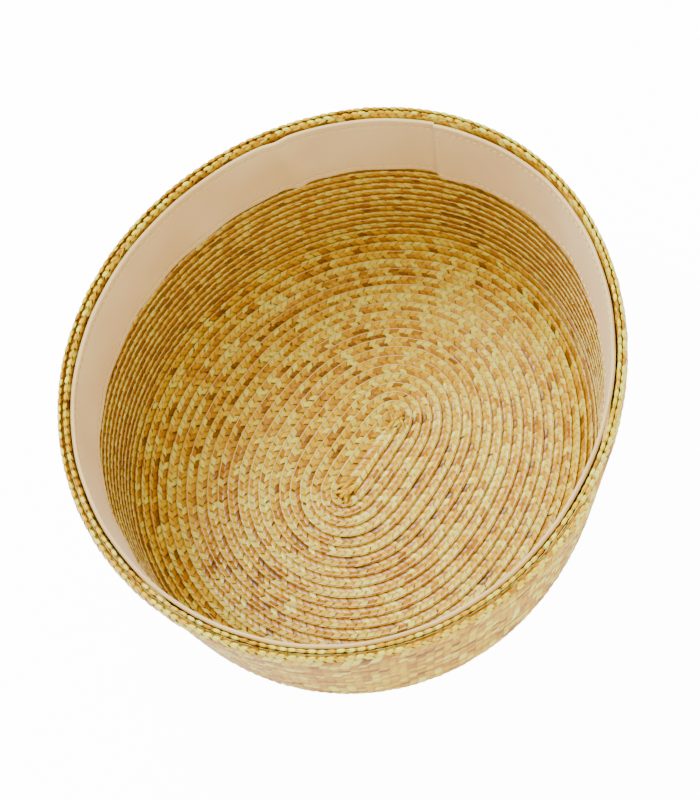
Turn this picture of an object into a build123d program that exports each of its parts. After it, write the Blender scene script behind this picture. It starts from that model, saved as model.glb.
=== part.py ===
"""Brimless straw hat, lying upside down on its flat crown tip.

The body is one long wheat-straw braid.  It starts as a short straight run in
the middle of the tip, winds outwards in an oval spiral, turns over the
shoulder and climbs the side wall to the rim.  Seen from the inside, each turn
lies over the inner edge of the next one, and a seam thread close to its outer
edge joins the two.  The last turn runs level along the rim and ends outside
its own beginning.  Another length of the braid faces the rim on the head
side.  A folded cotton sweatband is stitched in just under the rim, and its
ends lap at the back of the head.

Frame: millimetres.  The origin is in the middle of the tip, on the surface
that the hat lies on.  +Z points out of the head opening, +Y to the back of
the head and +X to the left ear of the wearer.
"""

import os
from math import cos, hypot, pi, radians, sin, tan

from build123d import *

# --- Head oval and crown -----------------------------------------------------
rim_half_width = 92.5  # outside of the straw at the rim, ear to ear
rim_half_length = 100.5  # outside of the straw at the rim, brow to nape
crown_height = 99.3  # tip to rim
wall_taper = 3.0  # degrees that the side wall leans in towards the tip
shoulder_radius = 20.0  # outside radius between tip and side wall
nape_narrowing = 0.045  # share by which the oval is slimmer at the nape
pressed_flat = 0.1  # how much the edges that the hat lies on are pressed flat

# --- Straw braid -------------------------------------------------------------
start_run = 34.0  # length of the straight run that the spiral starts from
start_tail = 0.5  # how far the run's free end passes the end of the spiral's axis
run_softness = 0.4  # 0 keeps the first flanks dead straight, 1 makes them round
braid_width = 5.5
braid_thickness = 1.0
wanted_pitch = 4.3  # from one turn to the next, before it is made to fit
lap_clearance = 0.3  # air between two lapped turns
start_lift = 0.35  # how much looser the laps are where the spiral starts
start_lift_turns = 6.0  # turns over which that looseness dies out
tight_bend = 0.4  # smallest radius of the braid's inner edge
small_turns = 12  # turns in the middle that need fewer sections
facing_gap = 1.0  # between the two ends of the braid that faces the rim
gather_length = 7.0  # gathered straws at either end of the straight run
gather_width = 4.0
gather_height = 0.8

# --- Seam thread that joins the turns ----------------------------------------
thread_size = 0.35
thread_inset = 0.45  # from the outer edge of a turn to its stitch line
thread_seat = 0.2  # air between a thread and what it lies on
thread_gap = 1.0  # between one length of thread and the next

# --- Sweatband ---------------------------------------------------------------
band_width = 32.0
band_below_rim = 3.2  # from the rim down to the top of the band
band_thickness = 0.7
lining_thickness = 0.5
lining_margin = 2.0  # the turned-in layer is this much shorter, top and foot
layer_gap = 0.15  # air between two layers of cloth
band_clearance = 0.35  # air between the straw and the turned-in layer at its top
band_foot_inset = 3.4  # outside of the straw to the turned-in layer at its foot
join_angle = 107.0  # where the lapped ends meet, degrees from +X towards +Y
join_overlap = 14.0  # length of the lap
join_ramp = 45.0  # length over which the upper end climbs onto the lower one
edge_roll_height = 1.6  # rolled fold along the top of the band
edge_roll_thickness = 1.1

# --- Sweatband stitching -----------------------------------------------------
stitch_size = 0.4
stitch_margin = 2.6  # from either edge of the band to its stitch line
stitch_seat = 0.15  # air between a stitch and the band
tack_margin = 1.2  # from the band's end to the stitches that close the lap
tack_spacing = 2.5  # between the two lines of those stitches

# --- Worked out from the dimensions above ------------------------------------
lap_step = braid_thickness + lap_clearance  # one turn lies this far inside the last
taper = radians(wall_taper)
side_rise = crown_height + pressed_flat - shoulder_radius
shoulder_r = rim_half_width - side_rise * tan(taper) - shoulder_radius / cos(taper)
shoulder_length = shoulder_radius * (pi / 2 - taper)
wall_start_r = shoulder_r + shoulder_radius * cos(taper)
wall_start_z = shoulder_radius * (1 - sin(taper))
wall_length = (crown_height + pressed_flat - wall_start_z) / cos(taper)
profile_length = shoulder_r + shoulder_length + wall_length

rim_level = profile_length - braid_width / 2  # middle of the braid along the rim
start_offset = 0.25  # turns that the first run is shifted off the centre line
turns = round(rim_level / wanted_pitch - start_offset) + 1
pitch = rim_level / (turns - 1 + start_offset)
lap_slope = lap_step / pitch
lap_rise = braid_width * lap_slope  # a turn's outer edge lies this far inside

facing_inset = lap_rise + lap_step
band_top_inset = facing_inset + braid_thickness + band_clearance
mean_rim_radius = (rim_half_width + rim_half_length) / 2
full_turn = 2 * pi


def profile(s):
    """Outside of the crown at arc length s from the middle.

    Gives the radius, the height and the unit vector that points inwards.
    """
    if s <= shoulder_r:
        return s, -pressed_flat, 0.0, 1.0
    if s <= shoulder_r + shoulder_length:
        turn = (s - shoulder_r) / shoulder_radius
        r = shoulder_r + shoulder_radius * sin(turn)
        z = shoulder_radius * (1 - cos(turn)) - pressed_flat
        return r, z, -sin(turn), cos(turn)
    climb = s - shoulder_r - shoulder_length
    r = wall_start_r + climb * sin(taper)
    z = wall_start_z + climb * cos(taper) - pressed_flat
    return r, z, -cos(taper), sin(taper)


def spoke(angle):
    """Where the spoke in this direction starts on the straight run, and its step.

    Every turn crosses the spoke square to the surface.  Its foot moves along
    the straight run in the middle, and its far end along the oval of the rim.
    The step is how far it moves in x and y while the crown's radius grows by 1.
    """
    lean = sin(angle) / hypot(sin(angle), run_softness) * hypot(1, run_softness)
    foot_y = start_run / 2 * lean
    rim_x = rim_half_width * cos(angle) * (1 - nape_narrowing * sin(angle))
    rim_y = rim_half_length * sin(angle)
    return foot_y, rim_x / rim_half_width, (rim_y - foot_y) / rim_half_width


def oval(r, angle):
    foot_y, step_x, step_y = spoke(angle)
    return r * step_x, foot_y + r * step_y


def section(angle, place):
    """Draw a strip's section.  place holds its two edges, their insets, its thickness."""
    s_low, s_high, inset_low, inset_high, thickness = place
    foot_y, step_x, step_y = spoke(angle)
    stretch = hypot(step_x, step_y)
    corners = []
    for s, inset in ((s_low, inset_low), (s_high, inset_high)):
        r, z, inward_r, inward_z = profile(abs(s))
        r = r if s >= 0 else -r
        for depth in (inset, inset + thickness):
            corners.append(((r + inward_r * depth) * stretch, z + inward_z * depth))
    upright = Plane(origin=(0, foot_y, 0), x_dir=(step_x, step_y, 0), z_dir=(step_y, -step_x, 0))
    with BuildSketch(upright) as drawn:
        with BuildLine():
            Polyline(*[corners[i] for i in (0, 1, 3, 2)], close=True)
        make_face()
    return drawn.sketch


def even_angles(start, end, r, count):
    """Angles that step evenly along an oval, counting its bends as extra length."""
    fine = 720
    bend_weight = 8.0
    travel = [0.0]
    angles = [start + (end - start) * i / fine for i in range(fine + 1)]
    for before, after in zip(angles, angles[1:]):
        x0, y0 = oval(r, before)
        x1, y1 = oval(r, after)
        step = hypot(x1 - x0, y1 - y0, bend_weight * (after - before))
        travel.append(travel[-1] + step)
    chosen = []
    index = 0
    for i in range(count + 1):
        wanted = travel[-1] * i / count
        while index < fine and travel[index + 1] < wanted:
            index += 1
        index = min(index, fine - 1)
        part = (wanted - travel[index]) / (travel[index + 1] - travel[index])
        chosen.append(angles[index] + part * (angles[index + 1] - angles[index]))
    return chosen


def strip(start, end, r, count, place):
    """Loft a strip from one angle to another.  place(angle) gives its section."""
    with BuildPart() as piece:
        for angle in even_angles(start, end, r, count):
            add(section(angle, place(angle)))
        loft()
    return piece.part


# --- Where the braid lies, by the number of turns wound so far -----------------
def braid_middle(turn):
    return min(rim_level, pitch * (turn + start_offset))


def braid_low_edge(turn):
    """Edge nearer the middle, gathered in where the first bend is tight."""
    edge = braid_middle(turn) - braid_width / 2
    if turn < 0.25:
        bent = sin(full_turn * turn) ** 2
        return edge + (tight_bend - edge) * bent
    return max(edge, tight_bend)


def tail_outset(turn):
    """How far the level last turn moves out, to end outside its own beginning."""
    if turn <= turns - 1:
        return 0.0
    gained = (braid_middle(turn) - braid_middle(turn - 1)) / pitch
    return lap_step * (1 - gained)


def braid_inset(turn, from_low_edge):
    """How far inside the crown's outside the braid's outer face lies."""
    raised = max(0.0, 1 - turn / 0.5)
    lapped = lap_slope * (from_low_edge + (braid_width - from_low_edge) * raised)
    lift = start_lift * lap_step * min(1.0, max(0.0, 1 - (turn - 0.5) / start_lift_turns))
    return lapped + lift - tail_outset(turn)


def braid_place(angle):
    turn = angle / full_turn
    low = braid_low_edge(turn)
    high = braid_middle(turn) + braid_width / 2
    return low, high, braid_inset(turn, 0.0), braid_inset(turn, braid_width), braid_thickness


def thread_place(angle):
    """A thread lies along the braid's inner face, whatever width the braid has there."""
    turn = angle / full_turn
    outer_edge = braid_middle(turn) + braid_width / 2
    full_share = braid_width / (outer_edge - braid_low_edge(turn))
    insets = []
    for from_outer in (thread_inset + thread_size, thread_inset):
        across = braid_width - from_outer * full_share
        insets.append(braid_inset(turn, across) + braid_thickness + thread_seat)
    low = outer_edge - thread_inset - thread_size
    return low, low + thread_size, *insets, thread_size


def facing_place(angle):
    """The braid that faces the rim on the head side runs level and upright."""
    low = rim_level - braid_width / 2
    return low, low + braid_width, facing_inset, facing_inset, braid_thickness


def wind(index, place, gap=0.0, sections=40):
    """Loft the part of the spiral that makes the turn with this number."""
    r = min(pitch * (index - 0.5), rim_half_width)
    start = full_turn * (index - 1)
    trim = gap / 2 / r
    return strip(start + trim, start + full_turn - trim, r, sections, place)


# --- Where the sweatband lies, by the angle from its lower end ----------------
band_start = radians(join_angle) - join_overlap / mean_rim_radius
band_end = radians(join_angle) + full_turn
join_lift = band_thickness + layer_gap
band_high = profile_length - band_below_rim
band_low = band_high - band_width


def climb_onto_lap(angle):
    """The last stretch of the band moves in, to lie on its own beginning."""
    lap_start = band_start + full_turn
    ramp = join_ramp / mean_rim_radius
    share = min(1.0, max(0.0, (angle - (lap_start - ramp)) / ramp))
    return join_lift * share * share * (3 - 2 * share)


def cloth_inset(s):
    """Outer face of the turned-in layer at profile position s."""
    from_top = (band_high - s) / band_width
    return band_top_inset + (band_foot_inset - band_top_inset) * from_top


def cloth_place(angle, low, high, extra, thickness):
    lift = extra + climb_onto_lap(angle)
    return low, high, cloth_inset(low) + lift, cloth_inset(high) + lift, thickness


def cloth(start, end, low, high, extra, thickness, count=80):
    """Strip of cloth or thread that follows the sweatband."""
    return strip(
        start,
        end,
        rim_half_width,
        count,
        lambda angle: cloth_place(angle, low, high, extra, thickness),
    )


face_extra = lining_thickness + layer_gap
stitch_extra = face_extra + band_thickness + stitch_seat
lap_share = join_overlap / mean_rim_radius
single_start = radians(join_angle) + 1.0 / mean_rim_radius
single_end = band_end - 1.0 / mean_rim_radius

os.makedirs("parts", exist_ok=True)

# --- Straight run in the middle of the tip -------------------------------------
run_height = braid_inset(0.0, 0.0) - pressed_flat
with BuildPart() as braid_start:
    run_length = start_run / 2 + start_tail
    with BuildSketch(Plane.XY.offset(run_height)) as run_outline:
        with Locations((braid_middle(0), -run_length / 2)):
            Rectangle(braid_width, run_length)
        free_corners = run_outline.vertices().group_by(Axis.Y)[0]
        fillet(free_corners, braid_width / 4)
    extrude(amount=braid_thickness)
braid_start.part.label = "braid_start"
export_step(braid_start.part, "parts/braid_start.step")

# --- Gathered straws where the braid bends back on itself ----------------------
gather_z = run_height + lap_step
for place_name, side in (("front", -1), ("back", 1)):
    with BuildPart() as gathered_straws:
        with BuildSketch(Plane.XY.offset(gather_z)):
            with Locations((0, side * (start_run / 2 - gather_length / 4))):
                Ellipse(gather_width / 2, gather_length / 2)
        extrude(amount=gather_height)
        chamfer(gathered_straws.edges().group_by(Axis.Z)[-1], gather_height / 2)
    gathered_straws.part.label = f"gathered_straws_{place_name}"
    export_step(gathered_straws.part, f"parts/gathered_straws_{place_name}.step")

# --- The turns of the spiral ---------------------------------------------------
for index in range(1, turns + 1):
    with BuildPart() as braid_turn:
        add(wind(index, braid_place, sections=40 if index < small_turns else 44))
        split(bisect_by=Plane.XY, keep=Keep.TOP)
    braid_turn.part.label = f"braid_turn_{index:02d}"
    export_step(braid_turn.part, f"parts/braid_turn_{index:02d}.step")

# --- The braid that faces the rim ----------------------------------------------
with BuildPart() as rim_facing_braid:
    add(strip(0.0, full_turn - facing_gap / mean_rim_radius, rim_half_width, 48, facing_place))
rim_facing_braid.part.label = "rim_facing_braid"
export_step(rim_facing_braid.part, "parts/rim_facing_braid.step")

# --- Seam thread, one length for each turn -------------------------------------
tip_turns = int(shoulder_r / pitch)
for name, first, last in (
    ("seam_thread_tip", 1, tip_turns),
    ("seam_thread_side", tip_turns + 1, turns - 1),
):
    with BuildPart() as seam_thread:
        for index in range(first, last + 1):
            add(wind(index, thread_place, thread_gap))
    seam_thread.part.label = name
    export_step(seam_thread.part, f"parts/{name}.step")

# --- Sweatband: turned-in layer, face, rolled edge and stitches ----------------
lining_start = radians(join_angle) + join_ramp * 0.1 / mean_rim_radius
lining_end = band_start + full_turn - join_ramp * 1.1 / mean_rim_radius
with BuildPart() as sweatband_lining:
    add(
        cloth(
            lining_start,
            lining_end,
            band_low + lining_margin,
            band_high - lining_margin,
            0.0,
            lining_thickness,
        )
    )
sweatband_lining.part.label = "sweatband_lining"
export_step(sweatband_lining.part, "parts/sweatband_lining.step")

with BuildPart() as sweatband_face:
    add(cloth(band_start, band_end, band_low, band_high, face_extra, band_thickness))
sweatband_face.part.label = "sweatband_face"
export_step(sweatband_face.part, "parts/sweatband_face.step")

with BuildPart() as sweatband_edge_roll:
    roll_low = band_high + layer_gap
    add(
        cloth(
            band_start + lap_share,
            band_end,
            roll_low,
            roll_low + edge_roll_height,
            face_extra - layer_gap,
            edge_roll_thickness,
        )
    )
sweatband_edge_roll.part.label = "sweatband_edge_roll"
export_step(sweatband_edge_roll.part, "parts/sweatband_edge_roll.step")

for name, low in (
    ("sweatband_top_stitches", band_high - stitch_margin - stitch_size),
    ("sweatband_hem_stitches", band_low + stitch_margin),
):
    with BuildPart() as stitch_line:
        add(cloth(single_start, single_end, low, low + stitch_size, stitch_extra, stitch_size))
    stitch_line.part.label = name
    export_step(stitch_line.part, f"parts/{name}.step")

with BuildPart() as sweatband_join_stitches:
    for line in range(2):
        tack = band_end - (tack_margin + line * tack_spacing) / mean_rim_radius
        foot = band_low + stitch_margin + 2 * stitch_size
        head = band_high - stitch_margin - 2 * stitch_size
        add(cloth(tack - stitch_size / mean_rim_radius, tack, foot, head, stitch_extra, stitch_size, 2))
sweatband_join_stitches.part.label = "sweatband_join_stitches"
export_step(sweatband_join_stitches.part, "parts/sweatband_join_stitches.step")
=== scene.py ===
"""Looks for the brimless straw hat: plaited straw turns, seam thread and sweatband."""

from math import cos, hypot, pi, radians, sin, tan

import bmesh
import bpy
import numpy as np
from mathutils import Matrix, Vector


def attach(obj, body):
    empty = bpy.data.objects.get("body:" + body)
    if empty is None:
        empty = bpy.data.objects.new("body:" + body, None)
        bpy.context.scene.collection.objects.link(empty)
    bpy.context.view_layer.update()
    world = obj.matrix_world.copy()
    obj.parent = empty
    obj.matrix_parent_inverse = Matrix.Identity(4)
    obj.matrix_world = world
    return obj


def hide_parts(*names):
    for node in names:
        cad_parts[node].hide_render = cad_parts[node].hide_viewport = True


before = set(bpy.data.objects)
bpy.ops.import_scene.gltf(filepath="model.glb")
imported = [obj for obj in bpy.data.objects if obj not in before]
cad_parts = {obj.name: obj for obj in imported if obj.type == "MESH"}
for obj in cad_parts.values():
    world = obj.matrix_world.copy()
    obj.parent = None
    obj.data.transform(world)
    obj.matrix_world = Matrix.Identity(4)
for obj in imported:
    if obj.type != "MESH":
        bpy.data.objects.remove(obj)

bl_info = {
    "name": "Brimless Straw Hat",
    "version": (1, 0, 0),
    "blender": (4, 5, 0),
    "location": "View3D > Sidebar > Straw Hat",
    "description": "Builds a spiral-sewn straw hat with its sweatband and a studio stage",
    "category": "Object",
}

MM = 0.001
BODY = "root"

# --- Driving sizes of the hat, in millimetres, as in the part ------------------
rim_half_width = 92.5
rim_half_length = 100.5
crown_height = 99.3
wall_taper = 3.0
shoulder_radius = 20.0
nape_narrowing = 0.045
pressed_flat = 0.1
start_run = 34.0
start_tail = 0.5
run_softness = 0.4
braid_width = 5.5
braid_thickness = 1.0
wanted_pitch = 4.3
lap_clearance = 0.3
start_lift = 0.35
start_lift_turns = 6.0
tight_bend = 0.4
gather_length = 7.0
thread_inset = 0.45
thread_size = 0.35
band_width = 32.0
band_below_rim = 3.2
band_thickness = 0.7
lining_thickness = 0.5
layer_gap = 0.15
band_clearance = 0.35
band_foot_inset = 3.4
join_angle = 107.0
join_overlap = 14.0
join_ramp = 45.0
edge_roll_height = 1.6
stitch_margin = 2.6

lap_step = braid_thickness + lap_clearance
taper = radians(wall_taper)
bend = pi / 2 - taper
side_rise = crown_height + pressed_flat - shoulder_radius
shoulder_r = rim_half_width - side_rise * tan(taper) - shoulder_radius / cos(taper)
shoulder_length = shoulder_radius * bend
wall_start_z = shoulder_radius * (1 - sin(taper))
wall_length = (crown_height + pressed_flat - wall_start_z) / cos(taper)
profile_length = shoulder_r + shoulder_length + wall_length
rim_level = profile_length - braid_width / 2
start_offset = 0.25
turns = round(rim_level / wanted_pitch - start_offset) + 1
pitch = rim_level / (turns - 1 + start_offset)
lap_slope = lap_step / pitch
facing_inset = braid_width * lap_slope + lap_step
band_top_inset = facing_inset + braid_thickness + band_clearance
mean_rim_radius = (rim_half_width + rim_half_length) / 2
full_turn = 2 * pi
band_start = radians(join_angle) - join_overlap / mean_rim_radius
band_end = radians(join_angle) + full_turn
band_high = profile_length - band_below_rim
band_low = band_high - band_width
face_inset = lining_thickness + layer_gap
run_height = lap_slope * braid_width + start_lift * lap_step - pressed_flat


# --- Where things lie on the hat -------------------------------------------------
def profile(s):
    """Radius, height and inward direction of the crown's outside at arc length s."""
    turned = np.clip((s - shoulder_r) / shoulder_radius, 0, bend)
    climb = np.maximum(s - shoulder_r - shoulder_length, 0)
    r = np.minimum(s, shoulder_r) + shoulder_radius * np.sin(turned) + climb * sin(taper)
    z = shoulder_radius * (1 - np.cos(turned)) + climb * cos(taper) - pressed_flat
    return r, z, -np.sin(turned), np.cos(turned)


def place(s, angle, inset):
    """Points, in metres, at arc length s, in a direction, this far inside the crown."""
    r, z, inward_r, inward_z = profile(s)
    lean = np.sin(angle) / np.hypot(np.sin(angle), run_softness) * hypot(1, run_softness)
    foot_y = start_run / 2 * lean
    step_x = np.cos(angle) * (1 - nape_narrowing * np.sin(angle))
    step_y = (rim_half_length * np.sin(angle) - foot_y) / rim_half_width
    reach = r + inward_r * inset
    height = np.maximum(z + inward_z * inset, 0.02)
    return np.stack((reach * step_x, foot_y + reach * step_y, height), axis=-1) * MM


def braid_middle(turn):
    return np.minimum(rim_level, pitch * (turn + start_offset))


def on_braid(turn, across, depth):
    """Points on the spiral: across from its inner edge, depth in from its outer face."""
    middle = braid_middle(turn)
    edge = middle - braid_width / 2
    bent = np.where(turn < 0.25, np.sin(full_turn * turn) ** 2, 1.0)
    gathered = edge + (np.maximum(edge, tight_bend) - edge) * bent
    s = gathered + (middle + braid_width / 2 - gathered) * across / braid_width
    raised = np.maximum(0, 1 - turn / 0.5)
    lapped = lap_slope * (across + (braid_width - across) * raised)
    loose = start_lift * lap_step * np.clip(1 - (turn - 0.5) / start_lift_turns, 0, 1)
    gained = (middle - braid_middle(turn - 1)) / pitch
    outset = np.where(turn > turns - 1, lap_step * (1 - gained), 0.0)
    return place(s, full_turn * turn, lapped + loose - outset + depth)


spiral_turns = np.linspace(0, turns + 0.1, 400 * turns)
steps = np.diff(on_braid(spiral_turns, braid_width * 0.6, 0.0), axis=0) / MM
spiral_travel = np.concatenate(([0.0], np.cumsum(np.linalg.norm(steps, axis=1))))


def climb_onto_lap(angle):
    ramp = join_ramp / mean_rim_radius
    share = np.clip((angle - (band_start + full_turn - ramp)) / ramp, 0, 1)
    return (band_thickness + layer_gap) * share * share * (3 - 2 * share)


def droop(angle):
    """How much deeper the sweatband hangs close to its upper end."""
    to_end = (band_end - angle) * mean_rim_radius
    return 2.6 * np.exp(-((to_end / 26) ** 2))


def on_band(angle, s, lift, look):
    """Points on the sweatband: lift is how far they lie in from its outer face."""
    from_top = (band_high - s) / band_width
    base = band_top_inset + (band_foot_inset - band_top_inset) * from_top
    hang = np.clip(from_top, 0, 1)
    waves = 0.5 + 0.25 * np.sin(9 * angle + 1.0) + 0.25 * np.sin(23 * angle + 4 * hang)
    ripple = look.ripple / MM * waves * (0.25 + 0.75 * hang)
    off_crease = np.mod(angle, full_turn) - radians(look.crease_angle) + 0.05 * hang
    crease = look.crease / MM * np.exp(-((off_crease / 0.035) ** 2)) * (0.5 + 0.5 * hang)
    return place(s, angle, base + climb_onto_lap(angle) + face_inset + lift + ripple + crease)


# --- Properties ------------------------------------------------------------------
class StrawLook(bpy.types.PropertyGroup):
    """How the plaited straw looks."""

    stitch: bpy.props.FloatProperty(
        name="Plait length", description="Length of one plait along the braid", default=0.0031, unit="LENGTH"
    )
    dome: bpy.props.FloatProperty(
        name="Leaf dome", description="How far a straw bulges in its middle", default=0.00012, unit="LENGTH"
    )
    tilt: bpy.props.FloatProperty(
        name="Leaf tilt", description="How far one side of a straw stands proud", default=0.0004, unit="LENGTH"
    )
    slant: bpy.props.FloatProperty(
        name="Slant", description="How far a straw runs along the braid as it crosses it", default=0.62
    )
    uneven: bpy.props.FloatProperty(
        name="Uneven", description="How far straws stray from their places", default=0.00012, unit="LENGTH"
    )
    seed: bpy.props.IntProperty(name="Seed", description="Start of the random choices", default=7)


class ThreadLook(bpy.types.PropertyGroup):
    """How the seam thread looks."""

    size: bpy.props.FloatProperty(
        name="Thread size", description="Thickness of the seam thread", default=0.00038, unit="LENGTH"
    )
    stitch: bpy.props.FloatProperty(
        name="Stitch length", description="Length of one stitch of the seam", default=0.0042, unit="LENGTH"
    )


class BandLook(bpy.types.PropertyGroup):
    """How the sweatband looks."""

    ripple: bpy.props.FloatProperty(
        name="Ripple", description="Height of the cloth's soft waves", default=0.0009, unit="LENGTH"
    )
    crease: bpy.props.FloatProperty(
        name="Crease", description="Height of the soft upright crease", default=0.0016, unit="LENGTH"
    )
    groove: bpy.props.FloatProperty(
        name="Groove", description="How far the stitches pull the cloth in", default=0.00035, unit="LENGTH"
    )
    crease_angle: bpy.props.FloatProperty(
        name="Crease direction", description="Degrees from the left ear to the crease", default=144.0
    )
    dash: bpy.props.FloatProperty(
        name="Stitch length", description="From one sewn stitch to the next", default=0.0031, unit="LENGTH"
    )


class StageLook(bpy.types.PropertyGroup):
    """Camera and light."""

    distance: bpy.props.FloatProperty(
        name="Camera distance", description="From the middle of the tip", default=0.608, unit="LENGTH"
    )
    heading: bpy.props.FloatProperty(name="Heading", description="Camera heading in degrees", default=48.8)
    elevation: bpy.props.FloatProperty(name="Elevation", description="Camera height in degrees", default=68.8)
    roll: bpy.props.FloatProperty(name="Roll", description="Camera roll in degrees", default=-15.7)
    lens: bpy.props.FloatProperty(name="Lens", description="Focal length", default=70.4, subtype="DISTANCE_CAMERA")
    key_power: bpy.props.FloatProperty(
        name="Key light", description="Power of the main light", default=9.5, unit="POWER"
    )


# --- Materials -------------------------------------------------------------------
def colour(red, green, blue):
    """A linear colour from display values between 0 and 255."""
    def linear(value):
        value /= 255
        return value / 12.92 if value <= 0.04045 else ((value + 0.055) / 1.055) ** 2.4

    return linear(red), linear(green), linear(blue), 1.0


def new_node(tree, kind, **settings):
    node = tree.nodes.new(kind)
    for name, value in settings.items():
        setattr(node, name, value)
    return node


def ramp(tree, factor, stops):
    node = new_node(tree, "ShaderNodeValToRGB")
    elements = node.color_ramp.elements
    while len(elements) < len(stops):
        elements.new(0.5)
    for element, (position, shade) in zip(elements, stops):
        element.position = position
        element.color = shade
    tree.links.new(factor, node.inputs["Fac"])
    return node.outputs["Color"]


def maths(tree, operation, first, second):
    node = new_node(tree, "ShaderNodeMath", operation=operation)
    for socket, value in zip(node.inputs, (first, second)):
        if isinstance(value, (int, float)):
            socket.default_value = value
        else:
            tree.links.new(value, socket)
    return node.outputs[0]


def blend(tree, kind, factor, first, second):
    node = new_node(tree, "ShaderNodeMix", data_type="RGBA", blend_type=kind)
    for index, value in ((0, factor), (6, first), (7, second)):
        if isinstance(value, (int, float, tuple)):
            node.inputs[index].default_value = value
        else:
            tree.links.new(value, node.inputs[index])
    return node.outputs[2]


def grain_and_edge_shade_group():
    """Streaks that run along each straw, and a mask for painted shade along the rim where it tucks under."""
    group = bpy.data.node_groups.new("Straw fibres and edge shade", "ShaderNodeTree")
    for name in ("Across", "Along", "Tone"):
        group.interface.new_socket(name, in_out="INPUT", socket_type="NodeSocketFloat")
    for name in ("Streak", "Rim", "Spots"):
        group.interface.new_socket(name, in_out="OUTPUT", socket_type="NodeSocketFloat")
    source = new_node(group, "NodeGroupInput")
    target = new_node(group, "NodeGroupOutput")
    links = group.links
    place_on = new_node(group, "ShaderNodeCombineXYZ")
    links.new(maths(group, "MULTIPLY", source.outputs["Across"], 9.0), place_on.inputs[0])
    links.new(source.outputs["Along"], place_on.inputs[1])
    links.new(maths(group, "MULTIPLY", source.outputs["Tone"], 90.0), place_on.inputs[2])
    streaks = new_node(group, "ShaderNodeTexNoise")
    streaks.inputs["Scale"].default_value = 1.0
    links.new(place_on.outputs[0], streaks.inputs["Vector"])
    links.new(streaks.outputs["Fac"], target.inputs["Streak"])
    # The Rim output is a mask for painted shade that rises towards both edges of a straw.
    off_middle = maths(group, "ABSOLUTE", maths(group, "SUBTRACT", source.outputs["Across"], 0.5), 0.0)
    links.new(maths(group, "POWER", maths(group, "MULTIPLY", off_middle, 2.0), 5.0), target.inputs["Rim"])
    where = new_node(group, "ShaderNodeTexCoord")
    spots = new_node(group, "ShaderNodeTexNoise")
    spots.inputs["Scale"].default_value = 420.0
    links.new(where.outputs["Object"], spots.inputs["Vector"])
    cut = new_node(group, "ShaderNodeMapRange")
    for socket, value in (("From Min", 0.68), ("From Max", 0.75)):
        cut.inputs[socket].default_value = value
    links.new(spots.outputs["Fac"], cut.inputs["Value"])
    links.new(cut.outputs["Result"], target.inputs["Spots"])
    return group


def straw_material():
    material = bpy.data.materials.new("Wheat straw")
    material.use_nodes = True
    tree = material.node_tree
    shader = tree.nodes["Principled BSDF"]
    values = {}
    for name in ("tone", "across", "along"):
        values[name] = new_node(tree, "ShaderNodeAttribute", attribute_name=name).outputs["Fac"]
    fibres_and_shade = new_node(tree, "ShaderNodeGroup", node_tree=grain_and_edge_shade_group())
    tree.links.new(values["tone"], fibres_and_shade.inputs["Tone"])
    tree.links.new(values["across"], fibres_and_shade.inputs["Across"])
    tree.links.new(values["along"], fibres_and_shade.inputs["Along"])
    base = ramp(
        tree,
        values["tone"],
        (
            (0.0, colour(96, 56, 4)),
            (0.18, colour(188, 128, 2)),
            (0.42, colour(224, 168, 4)),
            (0.68, colour(244, 204, 14)),
            (1.0, colour(255, 250, 100)),
        ),
    )
    streak = ramp(tree, fibres_and_shade.outputs["Streak"], ((0.3, (0.74, 0.64, 0.45, 1)), (0.62, (1, 1, 1, 1))))
    streaked = blend(tree, "MULTIPLY", 0.7, base, streak)
    # Painted shade: dark brown is mixed in towards each straw's edges, where its neighbours shade it.
    edge_shaded = blend(tree, "MIX", maths(tree, "MULTIPLY", fibres_and_shade.outputs["Rim"], 0.75), streaked, colour(120, 66, 8))
    spotted = blend(tree, "MIX", maths(tree, "MULTIPLY", fibres_and_shade.outputs["Spots"], 0.5), edge_shaded, colour(122, 62, 8))
    tree.links.new(spotted, shader.inputs["Base Color"])
    bump = new_node(tree, "ShaderNodeBump")
    bump.inputs["Strength"].default_value = 0.25
    bump.inputs["Distance"].default_value = 0.0001
    tree.links.new(fibres_and_shade.outputs["Streak"], bump.inputs["Height"])
    tree.links.new(bump.outputs["Normal"], shader.inputs["Normal"])
    shader.inputs["Roughness"].default_value = 0.27
    shader.inputs["Specular IOR Level"].default_value = 0.14
    return material


def plain_material(name, shade, roughness):
    material = bpy.data.materials.new(name)
    material.use_nodes = True
    shader = material.node_tree.nodes["Principled BSDF"]
    shader.inputs["Base Color"].default_value = shade
    shader.inputs["Roughness"].default_value = roughness
    return material


def cloth_material():
    material = plain_material("Sweatband cotton", colour(236, 214, 188), 0.85)
    tree = material.node_tree
    shader = tree.nodes["Principled BSDF"]
    shader.inputs["Sheen Weight"].default_value = 0.3
    where = new_node(tree, "ShaderNodeTexCoord")
    weave = new_node(tree, "ShaderNodeTexNoise")
    weave.inputs["Scale"].default_value = 1800.0
    tree.links.new(where.outputs["Object"], weave.inputs["Vector"])
    worn = new_node(tree, "ShaderNodeTexNoise")
    worn.inputs["Scale"].default_value = 28.0
    tree.links.new(where.outputs["Object"], worn.inputs["Vector"])
    shade = ramp(tree, worn.outputs["Fac"], ((0.35, colour(238, 200, 128)), (0.7, colour(248, 216, 150))))
    tree.links.new(shade, shader.inputs["Base Color"])
    bump = new_node(tree, "ShaderNodeBump")
    bump.inputs["Strength"].default_value = 0.35
    bump.inputs["Distance"].default_value = 0.0002
    tree.links.new(weave.outputs["Fac"], bump.inputs["Height"])
    tree.links.new(bump.outputs["Normal"], shader.inputs["Normal"])
    return material


def shared(name, make):
    """The material with this name, made the first time it is asked for."""
    return bpy.data.materials.get(name) or make()


def straw():
    return shared("Wheat straw", straw_material)


def cotton():
    return shared("Sweatband cotton", cloth_material)


def sewing():
    return shared("Sewing thread", lambda: plain_material("Sewing thread", colour(244, 214, 136), 0.6))


def band_sewing():
    return shared("Band thread", lambda: plain_material("Band thread", colour(250, 226, 140), 0.6))


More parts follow.
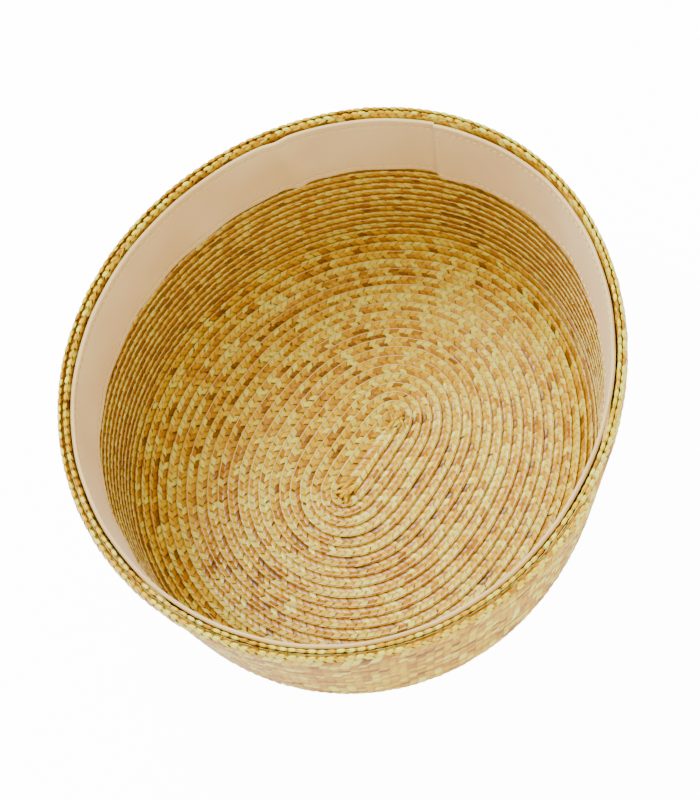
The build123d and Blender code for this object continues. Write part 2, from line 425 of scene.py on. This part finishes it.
# --- Tiles that are repeated along a row --------------------------------------------
def grid_piece(bm, columns, rows, leaf, shape):
    """Add a grid whose points go to shape(along, across), and note which leaf it is."""
    leaf_layer = bm.verts.layers.float.get("leaf") or bm.verts.layers.float.new("leaf")
    along_layer = bm.verts.layers.float.get("along") or bm.verts.layers.float.new("along")
    across_layer = bm.verts.layers.float.get("across") or bm.verts.layers.float.new("across")
    made = bmesh.ops.create_grid(bm, x_segments=columns, y_segments=rows, size=0.5)["verts"]
    for vert in made:
        along, across = vert.co.x + 0.5, vert.co.y + 0.5
        vert[leaf_layer] = leaf
        vert[along_layer] = along
        vert[across_layer] = across
        vert.co = shape(along, across)
    return made


def leaf_shape(look, side, column):
    """Shape of one visible length of straw, from the braid's edge to its middle line.

    side is 1 for the face that looks inwards and -1 for the outer face.
    """
    stitch, dome, tilt = look.stitch / MM, look.dome / MM, look.tilt / MM
    middle = braid_width * 0.6
    reach = middle + 0.35 if column == 0 else braid_width - middle + 0.35
    shift = stitch * (0.5 * column)
    slant = look.slant

    def shape(along, across):
        x = shift + (across * 1.06 - 0.03) * stitch + along * reach * slant
        y = along * reach if column == 0 else braid_width - along * reach
        folded = min(1.0, along / 0.12) ** 0.5
        tucked = max(0.0, (along - 0.78) / 0.22)
        height = 0.36 * folded - 0.34 * tucked**0.7 + dome * (1 - (2 * across - 1) ** 2)
        height += tilt * (across - 0.5) * folded
        return Vector((x, y, braid_thickness / 2 + side * height))

    return shape


def core_shape(x, across, pressed):
    """Middle layer of the braid, pressed down onto the next turn by its outer edge."""
    if pressed and across > 0.9:
        return Vector((x, braid_width - 0.35, -lap_step + 0.35))
    return Vector((x, 0.25 + min(across, 0.875) * 5.6, braid_thickness / 2))


def plait_tile(look, with_outside=True, beads=False):
    """One plait of the braid: straws that slant from both edges, and a core sheet between them that is toned dark
    as painted shade.
    """
    bm = bmesh.new()
    leaf = 0
    for side in (1, -1) if with_outside else (1,):
        for column in (0, 1):
            made = grid_piece(bm, 4, 3, leaf, leaf_shape(look, side, column))
            if (side == 1) == (column == 1):
                bmesh.ops.reverse_faces(bm, faces=list({f for v in made for f in v.link_faces}))
            leaf += 1
    stitch = look.stitch / MM
    grid_piece(bm, 1, 8, leaf, lambda along, across: core_shape(along * stitch, across, not beads))
    leaf += 1
    if beads:
        made = bmesh.ops.create_uvsphere(bm, u_segments=10, v_segments=6, radius=0.5)["verts"]
        turned = Matrix.Rotation(radians(14), 4, "Z") @ Matrix.Diagonal((stitch * 1.12, 1.25, 1.35, 1))
        seat = Matrix.Translation((stitch / 2, braid_width - 0.45, braid_thickness / 2))
        leaf_layer = bm.verts.layers.float["leaf"]
        across_layer = bm.verts.layers.float["across"]
        along_layer = bm.verts.layers.float["along"]
        for vert in made:
            vert[leaf_layer] = leaf
            vert[across_layer] = 0.5 + vert.co.x * 0.98
            vert[along_layer] = vert.co.y + 0.5
        bmesh.ops.transform(bm, matrix=seat @ turned, verts=made)
        leaf += 1
    return bm, leaf


def tube_tile(stitch, size, dash, sides=6, rings=5, bow=0.0):
    """One stitch of round thread: dash is the share of the stitch that shows."""
    bm = bmesh.new()

    def shape(along, across):
        round_end = (max(0.0, 1 - (2 * along - 1) ** 8)) ** 0.5 if dash < 1 else 1.0
        turn = full_turn * across
        x = stitch * (0.5 + dash * (along - 0.5))
        rise = bow * (4 * along * (1 - along) - 1)
        return Vector((x, size / 2 * round_end * cos(turn), size / 2 * (1 + round_end * sin(turn)) + rise))

    made = grid_piece(bm, rings, sides, 0, shape)
    bmesh.ops.remove_doubles(bm, verts=made, dist=0.001)
    return bm


def repeat(name, bm, count, stitch):
    """A mesh of count tiles in a row along X, made by an array."""
    mesh = bpy.data.meshes.new(name)
    bm.to_mesh(mesh)
    bm.free()
    tile = bpy.data.objects.new(name, mesh)
    bpy.context.scene.collection.objects.link(tile)
    rows = tile.modifiers.new("Row", "ARRAY")
    rows.use_relative_offset = False
    rows.use_constant_offset = True
    rows.constant_offset_displace = (stitch, 0, 0)
    rows.count = count
    bpy.context.view_layer.update()
    graph = bpy.context.evaluated_depsgraph_get()
    ready = tile.evaluated_get(graph)
    repeated = bpy.data.meshes.new_from_object(ready, preserve_all_data_layers=True, depsgraph=graph)
    per_tile = len(mesh.vertices)
    bpy.data.objects.remove(tile)
    bpy.data.meshes.remove(mesh)
    return repeated, per_tile


def points_of(mesh):
    values = np.empty(len(mesh.vertices) * 3)
    mesh.vertices.foreach_get("co", values)
    return values.reshape(-1, 3)


def move_points(mesh, points):
    mesh.vertices.foreach_set("co", np.ascontiguousarray(points).ravel())
    mesh.update()


def float_values(mesh, name):
    values = np.empty(len(mesh.vertices), dtype=np.float32)
    mesh.attributes[name].data.foreach_get("value", values)
    return values


def note_tone(mesh, tones):
    layer = mesh.attributes.get("tone") or mesh.attributes.new("tone", "FLOAT", "POINT")
    layer.data.foreach_set("value", np.asarray(tones, dtype=np.float32))


def finish_piece(name, mesh, material, nodes):
    """Turn a mesh into a piece that rides on the hat and stands for its nodes."""
    mesh.name = name
    mesh.materials.clear()
    mesh.materials.append(material)
    mesh.polygons.foreach_set("use_smooth", np.ones(len(mesh.polygons), dtype=bool))
    piece = bpy.data.objects.new(name, mesh)
    bpy.context.scene.collection.objects.link(piece)
    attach(piece, BODY)
    if nodes:
        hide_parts(*nodes)
    return piece


def leaf_tones_lit_and_shaded(random, stitches, leaves, travel):
    """A tone for every leaf: the column by the seam painted paler as if lit and the other painted darker as if in
    shade, with slow patches along the braid.
    """
    patch = 0.10 * np.sin(travel / 61.0) + 0.07 * np.sin(travel / 23.0 + 1.3)
    # Painted light and shade: the two columns of straws get lit and shaded tones of one straw colour.
    base = np.array([0.48, 0.74] * 3)[:leaves]
    tones = base[None, :] + patch[:, None] + random.normal(0, 0.21, (stitches, leaves))
    odd = random.random((stitches, leaves))
    tones = np.where(odd < 0.05, 0.24, np.where(odd > 0.93, 0.97, tones))
    return np.clip(tones, 0.08, 1.0)


def plait_row(name, look, length, lay, tile, nodes, travel_start, seed):
    """Repeat a tile over a length and lay it with lay(along, across, depth)."""
    bm, leaves = tile
    stitch = look.stitch / MM
    count = max(2, round(length / stitch))
    mesh, per_tile = repeat(name, bm, count, stitch)
    random = np.random.default_rng(look.seed * 1000 + seed)
    local = points_of(mesh)
    leaf = float_values(mesh, "leaf").round().astype(int)
    which = np.arange(len(local)) // per_tile
    stray = look.uneven / MM
    strays = random.normal(0, stray, (count, leaves, 3))[which, leaf]
    leans = random.normal(0, 1.1 * stray, (count, leaves))[which, leaf]
    core = leaf == (4 if leaves >= 5 else 2)
    local += np.where(core[:, None], 0.0, strays * np.array((1.6, 0.5, 0.35)))
    sideways = float_values(mesh, "across") - 0.5
    local[:, 2] += np.where(core, 0.0, leans * sideways)
    travel = (np.arange(count) + 0.5) * length / count
    tones = leaf_tones_lit_and_shaded(random, count, leaves, travel + travel_start)[which, leaf]
    # Painted shade: the flat core shows through the gaps between straws and is toned near-black to paint the shade
    # there; where it is pressed below onto the next turn it takes a paler straw tone.
    core_gap_shade_tone = np.where(local[:, 2] < 0, 0.62, 0.05)
    note_tone(mesh, np.where(core, core_gap_shade_tone, tones))
    move_points(mesh, lay(local[:, 0] * length / (count * stitch), local[:, 1], local[:, 2]))
    return finish_piece(name, mesh, straw(), nodes)


class HAT_OT_braid_turns(bpy.types.Operator):
    """Lay the plaited turns of the spiral"""

    bl_idname = "straw_hat.braid_turns"
    bl_label = "Braid turns"

    def execute(self, context):
        look = context.scene.straw_look
        for index in range(1, turns + 1):
            start, end = np.interp((index - 1, index), spiral_turns, spiral_travel)

            def lay(along, across, depth, start=start):
                turn = np.interp(start + along, spiral_travel, spiral_turns)
                return on_braid(turn, across, depth)

            tile = plait_tile(look, beads=index == turns)
            name = f"straw_turn_{index:02d}"
            nodes = [f"braid_turn_{index:02d}"]
            plait_row(name, look, end - start, lay, tile, nodes, start, index)
        return {"FINISHED"}


class HAT_OT_rim_facing(bpy.types.Operator):
    """Lay the braid that faces the rim on the head side"""

    bl_idname = "straw_hat.rim_facing"
    bl_label = "Rim facing"

    def execute(self, context):
        look = context.scene.straw_look
        angles = np.linspace(0, full_turn * 1.02, 800)
        low = rim_level - braid_width / 2
        line = place(np.full(800, rim_level), angles, facing_inset) / MM
        travel = np.concatenate(([0.0], np.cumsum(np.linalg.norm(np.diff(line, axis=0), axis=1))))
        length = np.interp(full_turn, angles, travel)

        def lay(along, across, depth):
            return place(low + across, np.interp(along, travel, angles), facing_inset + depth)

        plait_row("straw_rim_facing", look, length, lay, plait_tile(look, beads=True), ["rim_facing_braid"], 0, 90)
        return {"FINISHED"}


class HAT_OT_start_run(bpy.types.Operator):
    """Lay the straight run that the spiral starts from"""

    bl_idname = "straw_hat.start_run"
    bl_label = "Straight start"

    def execute(self, context):
        look = context.scene.straw_look
        length = start_run / 2 + start_tail
        left = pitch * start_offset - braid_width / 2

        def lay(along, across, depth):
            return np.stack((left + across, np.maximum(along, 0) - length, run_height + depth), axis=-1) * MM

        plait_row("straw_start_run", look, length, lay, plait_tile(look), ["braid_start"], 0, 91)
        return {"FINISHED"}


class HAT_OT_gathered_straws(bpy.types.Operator):
    """Bunch the loose straws where the braid bends back on itself"""

    bl_idname = "straw_hat.gathered_straws"
    bl_label = "Gathered straws"

    def execute(self, context):
        look = context.scene.straw_look
        for name, side in (("front", -1), ("back", 1)):
            random = np.random.default_rng(look.seed + side)
            bm = bmesh.new()
            tones = []
            for leaf in range(16):
                heading = random.normal(0, 0.45)
                length = random.uniform(3.5, 6.5)
                width = random.uniform(1.1, 1.8)
                at_x = random.normal(0.3, 1.2)
                at_y = side * (start_run / 2 - 0.4) + random.normal(0, 1.5)
                at_z = run_height + lap_step + 0.1 + 0.06 * leaf

                def shape(along, across):
                    x = (across - 0.5) * width * (1 - 0.35 * abs(2 * along - 1))
                    y = (along - 0.5) * length
                    z = at_z + 0.25 * (1 - (2 * across - 1) ** 2) - 0.5 * (2 * along - 1) ** 2
                    turned_x = x * cos(heading) - y * sin(heading)
                    turned_y = x * sin(heading) + y * cos(heading)
                    return Vector((at_x + turned_x, at_y + turned_y, z))

                made = grid_piece(bm, 6, 4, leaf, shape)
                tones += [float(np.clip(random.normal(0.6, 0.2), 0.15, 1))] * len(made)
            mesh = bpy.data.meshes.new(f"straw_gather_{name}")
            bm.to_mesh(mesh)
            bm.free()
            note_tone(mesh, tones)
            move_points(mesh, points_of(mesh) * MM)
            finish_piece(mesh.name, mesh, straw(), [f"gathered_straws_{name}"])
        return {"FINISHED"}


class HAT_OT_seam_thread(bpy.types.Operator):
    """Sew each turn to the next"""

    bl_idname = "straw_hat.seam_thread"
    bl_label = "Seam thread"

    def execute(self, context):
        look = context.scene.thread_look
        stitch, size = look.stitch / MM, look.size / MM
        tip_turns = int(shoulder_r / pitch)
        for name, first, last, seat in (("tip", 0, tip_turns, 1.0), ("side", tip_turns, turns - 1, 0.8)):
            start, end = np.interp((first, last), spiral_turns, spiral_travel)
            count = round((end - start) / stitch)
            mesh, _ = repeat(name, tube_tile(stitch, size, 1.0, rings=3, bow=0.12), count, stitch)
            local = points_of(mesh)
            turn = np.interp(start + local[:, 0] * (end - start) / (count * stitch), spiral_travel, spiral_turns)
            middle = braid_width - thread_inset - thread_size / 2
            move_points(mesh, on_braid(turn, middle + local[:, 1], seat + local[:, 2]))
            finish_piece(f"seam_stitches_{name}", mesh, sewing(), [f"seam_thread_{name}"])
        return {"FINISHED"}


class HAT_OT_sweatband(bpy.types.Operator):
    """Hang the folded sweatband inside the rim"""

    bl_idname = "straw_hat.sweatband"
    bl_label = "Sweatband"

    def execute(self, context):
        look = context.scene.band_look
        bm = bmesh.new()
        bmesh.ops.create_grid(bm, x_segments=300, y_segments=48, size=0.5)
        mesh = bpy.data.meshes.new("sweatband_cloth")
        bm.to_mesh(mesh)
        bm.free()
        local = points_of(mesh) + 0.5
        angle = band_start + (band_end - band_start) * local[:, 0]
        to_end = (band_end - angle) * mean_rim_radius
        corner = 4.0
        rounded = corner - np.sqrt(np.maximum(0, corner**2 - np.clip(corner - to_end, 0, corner) ** 2))
        rounded = rounded - droop(angle)
        s = band_low + rounded + (band_high - band_low - rounded) * local[:, 1]
        groove = 0.0
        for line in (band_high - stitch_margin, band_low + stitch_margin - droop(angle)):
            groove = groove + look.groove / MM * np.exp(-(((s - line) / 0.8) ** 2))
        move_points(mesh, on_band(angle, s, -groove, look))
        piece = finish_piece(
            "sweatband_cloth", mesh, cotton(), ["sweatband_face", "sweatband_lining"]
        )
        thick = piece.modifiers.new("Thickness", "SOLIDIFY")
        thick.thickness = band_thickness * MM
        thick.offset = -1
        return {"FINISHED"}


class HAT_OT_sweatband_roll(bpy.types.Operator):
    """Roll the fold along the top of the sweatband"""

    bl_idname = "straw_hat.sweatband_roll"
    bl_label = "Rolled edge"

    def execute(self, context):
        look = context.scene.band_look
        bm = bmesh.new()
        bmesh.ops.create_grid(bm, x_segments=360, y_segments=10, size=0.5)
        mesh = bpy.data.meshes.new("sweatband_roll")
        bm.to_mesh(mesh)
        bm.free()
        local = points_of(mesh) + 0.5
        start = band_start + join_overlap / mean_rim_radius
        angle = start + (band_end - start) * local[:, 0]
        turn = full_turn * local[:, 1]
        s = band_high + edge_roll_height / 2 * (0.6 + np.cos(turn))
        move_points(mesh, on_band(angle, s, 0.4 + 0.75 * np.sin(turn), look))
        finish_piece("sweatband_roll", mesh, cotton(), ["sweatband_edge_roll"])
        return {"FINISHED"}


class HAT_OT_sweatband_stitches(bpy.types.Operator):
    """Sew the sweatband's top, hem and lapped end"""

    bl_idname = "straw_hat.sweatband_stitches"
    bl_label = "Sweatband stitches"

    def execute(self, context):
        look = context.scene.band_look
        stitch = look.dash / MM
        length = full_turn * mean_rim_radius - 2
        start = radians(join_angle) + 1 / mean_rim_radius
        for name, s in (("top", band_high - stitch_margin), ("hem", band_low + stitch_margin)):
            count = round(length / stitch)
            mesh, _ = repeat(name, tube_tile(stitch, 0.55, 0.7), count, stitch)
            local = points_of(mesh)
            angle = start + local[:, 0] / (count * stitch) * length / mean_rim_radius
            hem = droop(angle) if name == "hem" else 0.0
            points = on_band(angle, s - hem + local[:, 1], band_thickness + local[:, 2] - 0.2, look)
            move_points(mesh, points)
            nodes = [f"sweatband_{name}_stitches"]
            finish_piece(f"sweatband_stitches_{name}", mesh, band_sewing(), nodes)
        foot, head = band_low + stitch_margin + 4, band_high - stitch_margin - 1
        count = round((head - foot) / stitch)
        mesh, _ = repeat("join", tube_tile(stitch, 0.55, 0.7), count, stitch)
        local = points_of(mesh)
        s = foot + local[:, 0] / (count * stitch) * (head - foot)
        angle = band_end - (1.6 + local[:, 1]) / mean_rim_radius
        move_points(mesh, on_band(angle, s, band_thickness + local[:, 2] - 0.12, look))
        nodes = ["sweatband_join_stitches"]
        finish_piece("sweatband_stitches_join", mesh, band_sewing(), nodes)
        return {"FINISHED"}


class HAT_OT_stage(bpy.types.Operator):
    """Set the floor, the lights and the camera"""

    bl_idname = "straw_hat.stage"
    bl_label = "Stage"

    def execute(self, context):
        look = context.scene.stage_look
        bm = bmesh.new()
        bmesh.ops.create_grid(bm, x_segments=1, y_segments=1, size=20.0)
        mesh = bpy.data.meshes.new("stage_floor")
        bm.to_mesh(mesh)
        bm.free()
        glowing_floor = plain_material("Glowing pale floor", (0.95, 0.95, 0.95, 1), 0.8)
        glowing_floor.node_tree.nodes["Principled BSDF"].inputs["Emission Color"].default_value = (1, 1, 1, 1)
        tree = glowing_floor.node_tree
        # The floor glows: strong emission paints it white for the camera, and a weaker glow seen by all rays
        # lights the hat like a lamp.
        seen = new_node(tree, "ShaderNodeLightPath").outputs["Is Camera Ray"]
        glow = maths(tree, "ADD", maths(tree, "MULTIPLY", seen, 12.0), 0.6)
        tree.links.new(glow, tree.nodes["Principled BSDF"].inputs["Emission Strength"])
        mesh.materials.append(glowing_floor)
        floor = bpy.data.objects.new("stage_floor", mesh)
        context.scene.collection.objects.link(floor)

        a, e, roll = radians(look.heading), radians(look.elevation), radians(look.roll)
        back = Vector((sin(a) * cos(e), -cos(a) * cos(e), sin(e)))
        level = Vector((cos(a), sin(a), 0))
        up = back.cross(level)
        right = cos(roll) * level + sin(roll) * up
        upright = cos(roll) * up - sin(roll) * level
        camera_data = bpy.data.cameras.new("Camera")
        camera_data.lens = look.lens
        camera_data.sensor_width = 36
        camera_data.sensor_fit = "AUTO"
        camera = bpy.data.objects.new("Camera", camera_data)
        where = back * look.distance - 7.8 * MM * right + 22.1 * MM * upright
        camera.matrix_world = Matrix.Translation(where) @ Matrix((right, upright, back)).transposed().to_4x4()
        context.scene.collection.objects.link(camera)
        context.scene.camera = camera

        for name, offset, size, power in (
            ("Key", -0.45 * right + 0.55 * upright + 0.55 * back, 0.5, look.key_power),
            ("Fill", 0.7 * right - 0.2 * upright + 0.5 * back, 0.9, look.key_power * 0.3),
            ("Glint", Vector((-back.x, -back.y, back.z)) - 0.22 * right, 0.14, look.key_power * 2.2),
        ):
            data = bpy.data.lights.new(name, "AREA")
            data.size = size
            data.energy = power
            lamp = bpy.data.objects.new(name, data)
            lamp.location = offset
            lamp.visible_diffuse = name != "Glint"
            lamp.rotation_euler = offset.to_track_quat("Z", "Y").to_euler()
            context.scene.collection.objects.link(lamp)
        world = bpy.data.worlds.new("Studio")
        world.use_nodes = True
        sky = world.node_tree.nodes["Background"]
        sky.inputs["Color"].default_value = (1, 1, 1, 1)
        sky.inputs["Strength"].default_value = 1.35
        context.scene.world = world
        return {"FINISHED"}


class HAT_PT_panel(bpy.types.Panel):
    """Buttons and sizes for the straw hat"""

    bl_idname = "HAT_PT_panel"
    bl_label = "Straw Hat"
    bl_space_type = "VIEW_3D"
    bl_region_type = "UI"
    bl_category = "Straw Hat"

    def draw(self, context):
        for look in ("straw_look", "thread_look", "band_look", "stage_look"):
            box = self.layout.box()
            group = getattr(context.scene, look)
            for name in group.bl_rna.properties.keys():
                if name not in ("rna_type", "name"):
                    box.prop(group, name)
        for operator in operators:
            self.layout.operator(operator.bl_idname)


looks = {
    "straw_look": StrawLook,
    "thread_look": ThreadLook,
    "band_look": BandLook,
    "stage_look": StageLook,
}
operators = (
    HAT_OT_braid_turns,
    HAT_OT_rim_facing,
    HAT_OT_start_run,
    HAT_OT_gathered_straws,
    HAT_OT_seam_thread,
    HAT_OT_sweatband_roll,
    HAT_OT_sweatband_stitches,
    HAT_OT_sweatband,
    HAT_OT_stage,
)


def register():
    for cls in (*looks.values(), *operators, HAT_PT_panel):
        bpy.utils.register_class(cls)
    for name, cls in looks.items():
        setattr(bpy.types.Scene, name, bpy.props.PointerProperty(type=cls))


def unregister():
    for name in looks:
        delattr(bpy.types.Scene, name)
    for cls in reversed((*looks.values(), *operators, HAT_PT_panel)):
        bpy.utils.unregister_class(cls)


def main():
    register()
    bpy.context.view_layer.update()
    bpy.ops.straw_hat.braid_turns()
    bpy.ops.straw_hat.rim_facing()
    bpy.ops.straw_hat.start_run()
    bpy.ops.straw_hat.gathered_straws()
    bpy.ops.straw_hat.seam_thread()
    bpy.ops.straw_hat.sweatband_roll()
    bpy.ops.straw_hat.sweatband_stitches()
    bpy.ops.straw_hat.sweatband()
    bpy.ops.straw_hat.stage()


if __name__ == "__main__":
    main()
